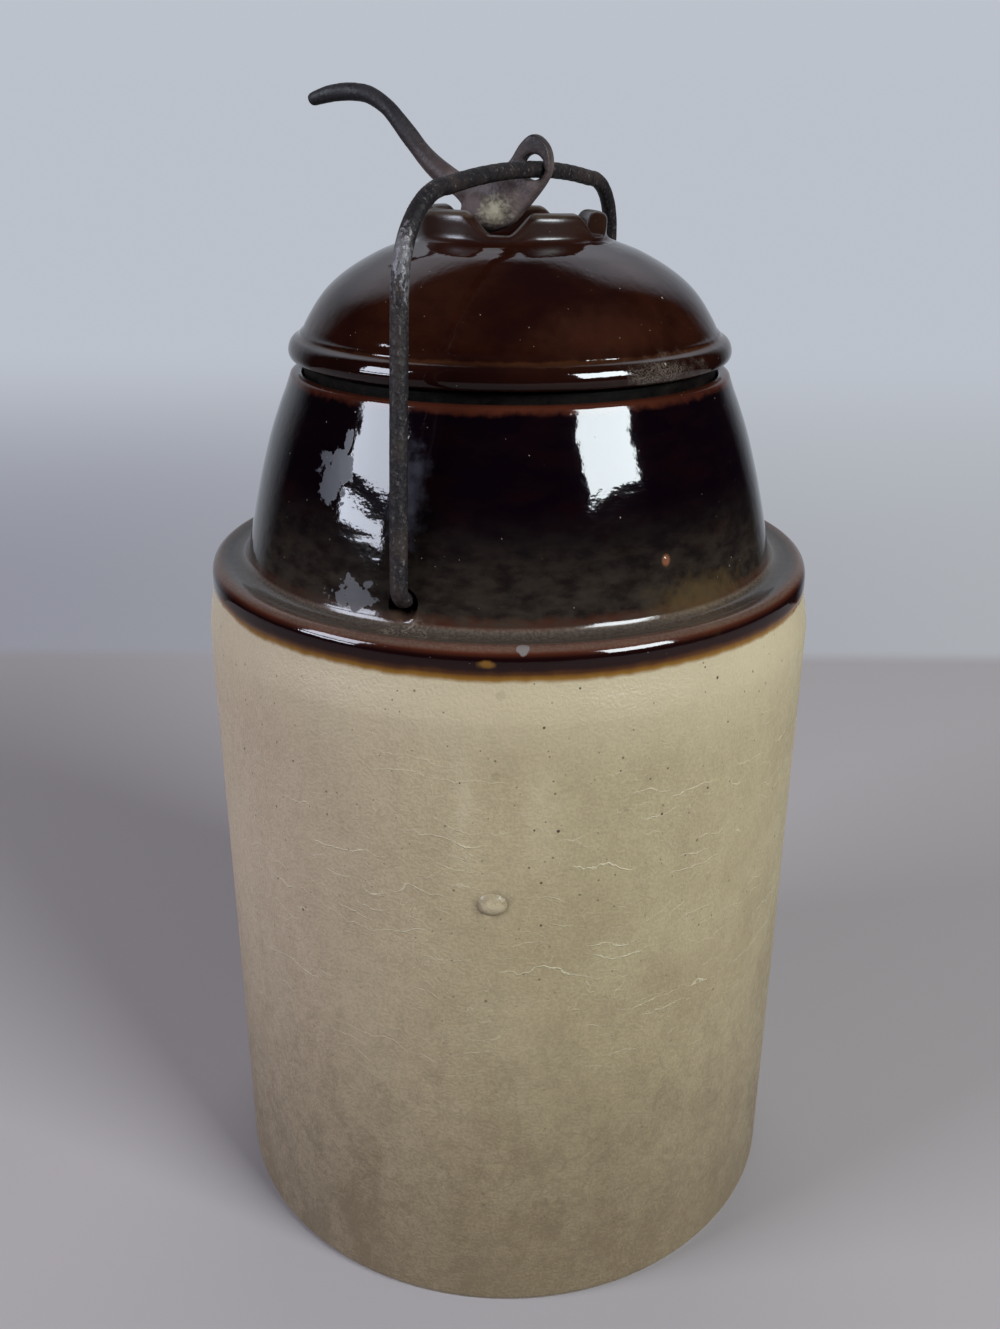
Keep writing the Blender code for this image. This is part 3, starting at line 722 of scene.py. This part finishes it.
def holeCutter(side):
    # a drill with a trumpet mouth, so that the glaze rolls into the hole
    hole = body["hole"]
    radius, surface, steps = hole["radius"], hole["surface"], hole["lipSteps"]
    lipStart = surface - hole["lipDepth"]
    outline = [(0, surface - hole["depth"]), (radius, surface - hole["depth"]), (radius, lipStart)]
    for k in range(1, steps + 1):
        turn = math.pi / 2 * k / steps
        lift = hole["lip"] * (1 - math.cos(turn))
        outline.append((radius + lift, lipStart + hole["lipReach"] * math.sin(turn)))
    outline += [(radius + hole["lip"] + 1.5, surface + hole["past"]), (0, surface + hole["past"])]
    outline = [Vector(p) for p in outline]
    build = bmesh.new()
    rings = []
    for k in range(hole["sides"]):
        turn = math.tau * k / hole["sides"]
        places = [(p.x * math.cos(turn) * mm, side * p.y * mm, (hole["height"] + p.x * math.sin(turn)) * mm)
                  for p in outline]
        rings.append([build.verts.new(place) for place in places])
    for a, b in zip(rings, rings[1:] + rings[:1]):
        for i in range(len(outline) - 1):
            build.faces.new((a[i], a[i + 1], b[i + 1], b[i]))
    bmesh.ops.remove_doubles(build, verts=build.verts, dist=0.001 * mm)
    return toolFrom(build, "drill")


def blister(centre, size):
    # a low bubble of glaze: size is its half width, half height and how far it stands out, in mm
    away = Vector((centre[0], centre[1], 0)).normalized()
    across = away.cross(Vector((0, 0, 1)))
    axes = Matrix((across * size[0], away * size[2], Vector((0, 0, size[1])))).transposed().to_4x4()
    place = Matrix.Translation(Vector(centre) * mm) @ axes
    build = bmesh.new()
    bmesh.ops.create_uvsphere(build, u_segments=32, v_segments=20, radius=mm, matrix=place)
    return toolFrom(build, "blister")


def makeBody():
    piece = throwPiece("jarBody", bodyProfile(), body["wheel"], bodyFinish)
    tools = [("DIFFERENCE", holeCutter(side)) for side in (-1, 1)]
    tools += [("UNION", blister(*place)) for place in body["blisters"]]
    for operation, tool in tools:
        join = piece.modifiers.new("tool", "BOOLEAN")
        join.operation, join.solver, join.object = operation, "EXACT", tool
    keepResult(piece)
    for _, tool in tools:
        bpy.data.objects.remove(tool, do_unlink=True)
    faceOutwards(piece)
    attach(piece, "jar")
    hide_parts("jar_body")
    print("body turned:", len(piece.data.polygons), "faces")


makeBody()

# ---- the rubber ring
ring = {
    "section": [(37, 166.25, 0), (37, 163.6, 0.6), (32.6, 163.6, 0.6), (32.6, 168.9, 0.6),
                (37, 168.9, 0.6), (37, 166.25, 0)],
    "wheel": {"Turn Steps": 220, "Throwing Wobble": 0.05 * mm, "Wobble Scale": 60.0,
              "Glaze Ripple": 0.02 * mm, "Ripple Scale": 500.0, "Seed": 8.0},
}


def makeRing():
    profile = evenly(softCorners(ring["section"], 5), 0.9)
    piece = throwPiece("sealingRing", profile, ring["wheel"], ringFinish)
    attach(piece, "jar")
    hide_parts("sealing_ring")
    print("ring turned:", len(piece.data.polygons), "faces")


makeRing()

# ---- the lid
lid = {
    "under": [(0, 173.6, 0), (9.9, 173.6, 3), (16.9, 178, 2.3), (26.9, 178, 3.5), (27.7, 166.5, 0.8),
              (32.3, 166.5, 0.8), (32.3, 169.25, 0), (36.4, 169.25, 0)],
    "brim": [(36.4, 169.25), (38.4, 169.3), (39.15, 169.6), (39.5, 170.2), (39.58, 170.9), (39.45, 171.6),
             (39.15, 172.3), (38.65, 172.85), (38, 173.15), (37.6, 173.45), (37.35, 173.9), (36.95, 174.3),
             (36.65, 174.75)],
    "dome": [(36.2, 175.6), (35.35, 177), (34, 179), (32.3, 181), (30, 183), (27, 185), (23.2, 187),
             (20.8, 187.95), (19.2, 188.5)],
    "collar": [(18.3, 188.85), (17.45, 189.25), (16.98, 189.75), (16.8, 190.3), (16.8, 191.4), (16.84, 192.5),
               (16.72, 193.2), (16.35, 193.72), (15.7, 194), (15, 194.05), (14.1, 193.75), (13.5, 192.9)],
    "socket": [(13.4, 192.4, 0), (13.4, 180.6, 6.5), (0, 180.6, 0)],
    "wheel": {
        "Turn Steps": 360, "Throwing Wobble": 0.12 * mm, "Wobble Scale": 22.0, "Glaze Ripple": 0.04 * mm,
        "Ripple Scale": 160.0, "Notches": 5, "Notch Start": math.radians(13.0 - 90), "Notch Depth": 3.6 * mm,
        "Notch Floor": 2.8 * mm, "Notch Ramp": 5.2 * mm, "Collar Foot": 188.8 * mm, "Collar Top": 194.05 * mm,
        "Collar Radius": 16.6 * mm, "Collar Tilt": 0.028, "Tilt Towards": math.radians(20.0), "Seed": 5.0},
}


def lidProfile():
    outer = curveThrough([Vector(p) for p in lid["brim"] + lid["dome"] + lid["collar"]], 5)
    return evenly(softCorners(lid["under"], 5), 1.6)[:-1] + outer + evenly(softCorners(lid["socket"], 9), 1.1)


def makeLid():
    piece = throwPiece("domedLid", lidProfile(), lid["wheel"], lidFinish)
    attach(piece, "lid")
    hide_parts("lid")
    print("lid turned:", len(piece.data.polygons), "faces")


makeLid()

# ---- the wire bail
bail = {
    "hinge": 138, "height": 60.4, "leg": 49.85, "taper": 7, "corner": 15.7, "arch": 1.9, "lean": 2.7,
    "twist": 5.3, "pivotEnd": 42.9, "pivotBend": 2.3, "bendSteps": 24, "barSteps": 72,
    "wire": {"Wire Radius": 2.86 / 2 * mm, "Points": 620, "Sides": 20, "Grain": 0.09 * mm,
             "Grain Scale": 900.0, "Pitting": 0.07 * mm, "Pitting Scale": 260.0, "Rib Depth": 0.05 * mm,
             "Rib Pitch": 0.62 * mm, "Rib From": 196.5 * mm, "Seed": 2.0},
}


def straightHalf():
    slope = math.atan2(bail["taper"], bail["height"])
    return bail["leg"] - bail["taper"] - bail["corner"] / math.tan(math.pi / 4 + slope / 2)


def onBail(side, up):
    # a point of the wire's centre line, in mm, from its place along the hinge and its height above it
    if abs(side) < straightHalf() and up > bail["height"] / 2:
        up += bail["arch"] * (1 - (side / straightHalf()) ** 2)
    lean = up * math.tan(math.radians(bail["lean"]))
    twist = side * math.tan(math.radians(bail["twist"])) * up / bail["height"]
    return Vector((lean + twist, side, up + bail["hinge"]))


def wireTree():
    tree, entry, leave = newTree("Drawn wire", "GeometryNodeTree", {
        "Path": "Geometry", "Wire Radius": 0.0014, "Points": 400, "Sides": 20, "Grain": 0.0001,
        "Grain Scale": 900.0, "Pitting": 0.0001, "Pitting Scale": 300.0, "Rib Depth": 0.00005,
        "Rib Pitch": 0.0006, "Rib From": 0.19, "Seed": 1.0, "Finish": "Material"}, "Geometry")
    path = made(tree, "GeometryNodeMeshToCurve", {"Mesh": entry["Path"]})
    path = made(tree, "GeometryNodeResampleCurve", {"Curve": path, "Count": entry["Points"]})
    covered = put(tree, "GeometryNodeSplineParameter").outputs["Length"]
    inputs = {"Geometry": path, "Name": "wireLength", "Value": covered}
    path = made(tree, "GeometryNodeStoreNamedAttribute", inputs, data_type="FLOAT", domain="POINT")
    inputs = {"Resolution": entry["Sides"], "Radius": entry["Wire Radius"]}
    circle = made(tree, "GeometryNodeCurvePrimitiveCircle", inputs)
    inputs = {"Curve": path, "Profile Curve": circle, "Fill Caps": True}
    tube = made(tree, "GeometryNodeCurveToMesh", inputs)
    here = made(tree, "GeometryNodeInputPosition")
    # fine ribs go round the bar, and fade out just under it
    length = made(tree, "GeometryNodeInputNamedAttribute", {"Name": "wireLength"}, data_type="FLOAT")
    wave = maths("SINE", times(over(length, entry["Rib Pitch"]), math.tau))
    onBar = ramp(axis(here, "Z"), minus(entry["Rib From"], 0.004), entry["Rib From"])
    shift = plus(unevenness(entry, here, "Grain", "Grain Scale", 0.62, 2.5),
                 unevenness(entry, here, "Pitting", "Pitting Scale", 0.6, 2.5),
                 times(minus(wave, 1), entry["Rib Depth"], onBar))
    return asPiece(shifted(tube, made(tree, "GeometryNodeInputNormal"), shift), entry, leave)


def makeBail():
    leg, top, count = bail["leg"], bail["height"], bail["barSteps"]
    corners = [(bail["pivotEnd"], 0, 0), (leg, 0, bail["pivotBend"]),
               (leg - bail["taper"], top, bail["corner"]), (0, top, 0)]
    half = softCorners(corners, bail["bendSteps"])
    legs = evenly([p for p in half if p.x > straightHalf() * 1.001], 0.8)
    bar = [Vector((straightHalf() * (1 - 2 * k / count), top)) for k in range(count + 1)]
    path = [onBail(p.x, p.y) for p in legs + bar] + [onBail(-p.x, p.y) for p in reversed(legs)]
    piece = addPiece("wireBail", lineMesh("wireBail", [p * mm for p in path]))
    runTree(piece, wireTree(), {**bail["wire"], "Finish": wireFinish})
    faceOutwards(piece, 60)
    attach(piece, "bail")
    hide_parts("wire_bail")
    print("bail drawn:", len(piece.data.polygons), "faces")


makeBail()

# ---- the cam lever
lever = {
    "place": 4, "thickness": 2.5, "edge": 0.25,
    "eyeRadius": 2.2, "eyeCentre": (-0.35, 0.35), "eyeSides": 40,
    "nose": [((-9.7, -6.9), (4.5, 3.8, 4)), ((-7.6, -4.6), (5.6, 4.2, 2.7)), ((-11.6, -3.6), (4.2, 2, 2.2)),
             ((-11.2, -7.4), (3.4, 3, 3.2))],
    "plate": [(-18.8, 0.6), (-15.6, -0.7), (-11.6, -1.6), (-7.6, -0.7), (-4.8, 1.4), (-2.7, 4.2), (-0.4, 5.6),
              (2.1, 3.9), (2.9, 0.9), (2.1, -1.7), (-1.3, -5.8), (-5.2, -9.3), (-9.2, -10.4), (-12.2, -9.3),
              (-13.4, -6.9), (-16, -4.25), (-18.8, -2.4), (-19.6, -0.7)],
    # along, up and radius
    "handle": [(-46, 11.35, 0.8), (-45.4, 11.55, 1.15), (-42.8, 12.2, 1.38), (-40.3, 12.6, 1.48),
               (-37.1, 12.72, 1.52), (-33.4, 12.2, 1.5), (-29.9, 10.3, 1.42), (-27.6, 8.1, 1.5),
               (-25.4, 5.7, 1.62), (-22.9, 2.9, 1.62), (-20.2, 0.4, 1.85), (-17, -1.8, 2),
               (-14, -3.4, 1.9)],
    "voxel": 0.24, "smoothing": 20,
    "casting": {"Skin": 0.14 * mm, "Skin Scale": 300.0, "Swell": 0.07 * mm, "Seed": 4.0},
}


def addSpline(curve, points, closed):
    spline = curve.splines.new("POLY")
    spline.points.add(len(points) - 1)
    for point, place in zip(spline.points, points):
        point.co = (place.x * mm, place.y * mm, 0, 1)
        if len(place) == 3:
            point.radius = place.z
    spline.use_cyclic_u = closed


def leverBlank():
    # plate with its eye, round handle and nose, still separate solids that lie flat, in metres
    edge = lever["edge"]
    plate = bpy.data.curves.new("plate", "CURVE")
    plate.dimensions, plate.fill_mode = "2D", "BOTH"
    plate.extrude = (lever["thickness"] / 2 - edge) * mm
    plate.bevel_depth, plate.bevel_resolution, plate.offset = edge * mm, 2, -edge * mm
    turns = [math.tau / lever["eyeSides"] * k for k in range(lever["eyeSides"])]
    eye = [Vector(lever["eyeCentre"]) + lever["eyeRadius"] * Vector((math.cos(a), -math.sin(a)))
           for a in turns]
    addSpline(plate, closedCurve([Vector(p) for p in lever["plate"]], 6), True)
    addSpline(plate, eye, True)
    bar = bpy.data.curves.new("handle", "CURVE")
    bar.dimensions, bar.bevel_depth, bar.bevel_resolution, bar.use_fill_caps = "3D", mm, 5, True
    addSpline(bar, curveThrough([Vector(p) for p in lever["handle"]], 6), False)
    build = bmesh.new()
    for curve in (plate, bar):
        piece = addPiece("blank", curve)
        build.from_mesh(shapedMesh(piece))
        bpy.data.objects.remove(piece, do_unlink=True)
    for centre, size in lever["nose"]:
        ball = Matrix.Translation((centre[0] * mm, centre[1] * mm, 0)) @ Matrix.Diagonal((*size, 1))
        bmesh.ops.create_uvsphere(build, u_segments=48, v_segments=32, radius=mm, matrix=ball)
    bmesh.ops.remove_doubles(build, verts=build.verts, dist=0.001 * mm)
    return meshFrom(build, "camLever")


def castingTree():
    tree, entry, leave = newTree("Sand casting", "GeometryNodeTree", {
        "Blank": "Geometry", "Skin": 0.0001, "Skin Scale": 400.0, "Swell": 0.0, "Seed": 1.0,
        "Finish": "Material"}, "Geometry")
    here = made(tree, "GeometryNodeInputPosition")
    shift = plus(unevenness(entry, here, "Skin", "Skin Scale", 0.55, 3, 0.6), entry["Swell"])
    return asPiece(shifted(entry["Blank"], made(tree, "GeometryNodeInputNormal"), shift), entry, leave)


def makeLever():
    piece = addPiece("camLever", leverBlank())
    remesh = piece.modifiers.new("melt", "REMESH")
    remesh.mode, remesh.voxel_size, remesh.adaptivity = "VOXEL", lever["voxel"] * mm, 0
    soften = piece.modifiers.new("soften", "SMOOTH")
    soften.factor, soften.iterations = 0.5, lever["smoothing"]
    keepResult(piece)
    runTree(piece, castingTree(), {**lever["casting"], "Finish": leverFinish})
    crossbar = onBail(lever["place"], bail["height"]) * mm
    upright = Matrix.Rotation(math.pi / 2, 4, "X")
    turn = Matrix.Rotation(-math.radians(bail["twist"]), 4, "Z")
    piece.data.transform(Matrix.Translation(crossbar) @ turn @ upright)
    faceOutwards(piece, 70)
    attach(piece, "lever")
    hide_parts("cam_lever")
    print("lever cast:", len(piece.data.polygons), "faces")


makeLever()

# ---- floor, light and camera
studio = {
    "camera": (78.52, -216.02, 204.07), "lens": 33.76,
    "turn": 20.05, "pitch": 22.61, "yaw": -0.306, "roll": 0.227,
    "floorColour": (0.24, 0.216, 0.214), "floorReach": 271, "soft": 9,
    # the backdrop as the camera sees it, with painted light and shade: darker on the left and lower down,
    # lighter on the right and higher up
    "wallLeft": (0.275, 0.28, 0.33), "wallRight": (0.41, 0.43, 0.46), "wallHigh": (0.5, 0.535, 0.595),
    "wallTop": (0.53, 0.57, 0.62),
    # the room as the glaze mirrors it
    "wall": (0.42, 0.45, 0.5), "wallLit": (0.8, 0.84, 0.94), "wallTurn": 6, "wallWidth": (0.56, 0.86),
    "room": (0.01, 0.009, 0.01), "ceiling": (0.03, 0.03, 0.033),
    # azimuth from -Y towards +X, elevation, distance, size, power and colour
    "windows": {
        "rightWindow": (69, 26, 1.6, (0.71, 0.56), 54, (0.88, 0.96, 1)),
        "leftWindowUpper": (-47, 23.7, 1.6, (0.66, 0.56), 30, (0.81, 0.86, 1)),
        "leftWindowLower": (-47, 8.3, 1.6, (0.66, 0.12), 7, (0.81, 0.86, 1)),
        "backFill": (195, 34, 1.7, (1.3, 0.9), 9, (0.97, 0.98, 1)),
    },
}


def wallShare(way):
    # how far the pale far wall fills a direction, whatever its height
    level = vectors("NORMALIZE", stretched(way, (1, 1, 0)))
    return ramp(along(level, studio["turn"] + studio["wallTurn"] + 90), *studio["wallWidth"])


def makeWorld():
    # a pale wall on the far side, and a dim room above and on the near side
    world = bpy.data.worlds.new("studio")
    bpy.context.scene.world = world
    world.use_nodes = True
    tree = world.node_tree
    way = put(tree, "ShaderNodeTexCoord").outputs["Generated"]
    up = axis(way, "Z")
    wall = tint(ramp(up, 0.35, 0.62), studio["wall"], studio["wallLit"])
    mirrored = tint(ramp(up, 0.73, 0.84), tint(wallShare(way), studio["room"], wall), studio["ceiling"])
    seen = put(tree, "ShaderNodeLightPath").outputs["Is Camera Ray"]
    # painted light: to the camera the backdrop grows lighter higher up
    colour = tint(seen, mirrored, tint(ramp(up, 0, 0.35), studio["wallHigh"], studio["wallTop"]))
    feed(tree.nodes["Background"], {"Color": colour})


def makeFloor():
    # one plane: a square of floor round the jar, and past it a backdrop that glows like the wall
    build = bmesh.new()
    bmesh.ops.create_circle(build, cap_ends=True, segments=96, radius=12)
    mesh = meshFrom(build, "floor")
    constants = {"Emission Strength": 1, "Roughness": 1, "Specular IOR Level": 0}
    finish, shader, spot = newFinish("floor", constants)
    ahead, across = along(spot, studio["turn"] + 90), along(spot, studio["turn"])
    away = most(maths("ABSOLUTE", ahead), maths("ABSOLUTE", across))
    reach, soft = studio["floorReach"] * mm, studio["soft"] * mm
    share = most(ramp(ahead, reach - soft, reach + soft), ramp(vectors("LENGTH", spot), 0.5, 1.6))
    # painted light and shade on the backdrop: darker on the left, lighter on the right and further off
    wall = tint(ramp(across, -0.3, 0.3), studio["wallLeft"], studio["wallRight"])
    wall = tint(ramp(away, reach, 1.15), wall, studio["wallHigh"])
    # in the glaze the backdrop shows only on the far side, as the wall does
    seen = put(spot.id_data, "ShaderNodeLightPath").outputs["Is Camera Ray"]
    wall = tint(seen, tint(wallShare(spot), studio["room"], studio["wall"]), wall)
    black = (0, 0, 0)
    feed(shader, {"Base Color": tint(share, studio["floorColour"], black),
                  "Emission Color": tint(share, black, wall)})
    piece = addPiece("floor", mesh)
    mesh.materials.append(finish)


def makeLight(name, azimuth, elevation, distance, size, power, colour):
    a, e = math.radians(azimuth), math.radians(elevation)
    way = Vector((math.sin(a) * math.cos(e), -math.cos(a) * math.cos(e), math.sin(e)))
    lamp = bpy.data.lights.new(name, "AREA")
    lamp.shape, lamp.size, lamp.size_y = "RECTANGLE", size[0], size[1]
    lamp.energy, lamp.color = power, colour
    piece = addPiece(name, lamp)
    piece.location = Vector((0, 0, 0.15)) + way * distance
    piece.rotation_mode = "QUATERNION"
    piece.rotation_quaternion = (-way).to_track_quat("-Z", "Y")
    return piece


def makeStudio():
    makeFloor()
    makeWorld()
    windows = {name: makeLight(name, *window) for name, window in studio["windows"].items()}
    windows["backFill"].visible_glossy = False  # it lifts the jar's back, and the glaze doesn't mirror it
    camera = bpy.data.cameras.new("camera")
    camera.lens, camera.sensor_width, camera.sensor_fit = studio["lens"], 36, "AUTO"
    camera.clip_start, camera.clip_end = 0.01, 50
    piece = addPiece("camera", camera)
    turn, pitch, yaw, roll = (math.radians(studio[k]) for k in ("turn", "pitch", "yaw", "roll"))
    forward = Vector((math.sin(yaw) * math.cos(pitch), math.cos(yaw) * math.cos(pitch), -math.sin(pitch)))
    right = Vector((math.cos(yaw), -math.sin(yaw), 0))
    up = right.cross(forward)
    right, up = right * math.cos(roll) + up * math.sin(roll), up * math.cos(roll) - right * math.sin(roll)
    axes = Matrix((right, up, -forward)).transposed()
    piece.rotation_mode = "QUATERNION"
    piece.rotation_quaternion = (Matrix.Rotation(turn, 3, "Z") @ axes).to_quaternion()
    piece.location = Vector(studio["camera"]) * mm
    bpy.context.scene.camera = piece
    bpy.context.scene.view_settings.view_transform = "Standard"


makeStudio()
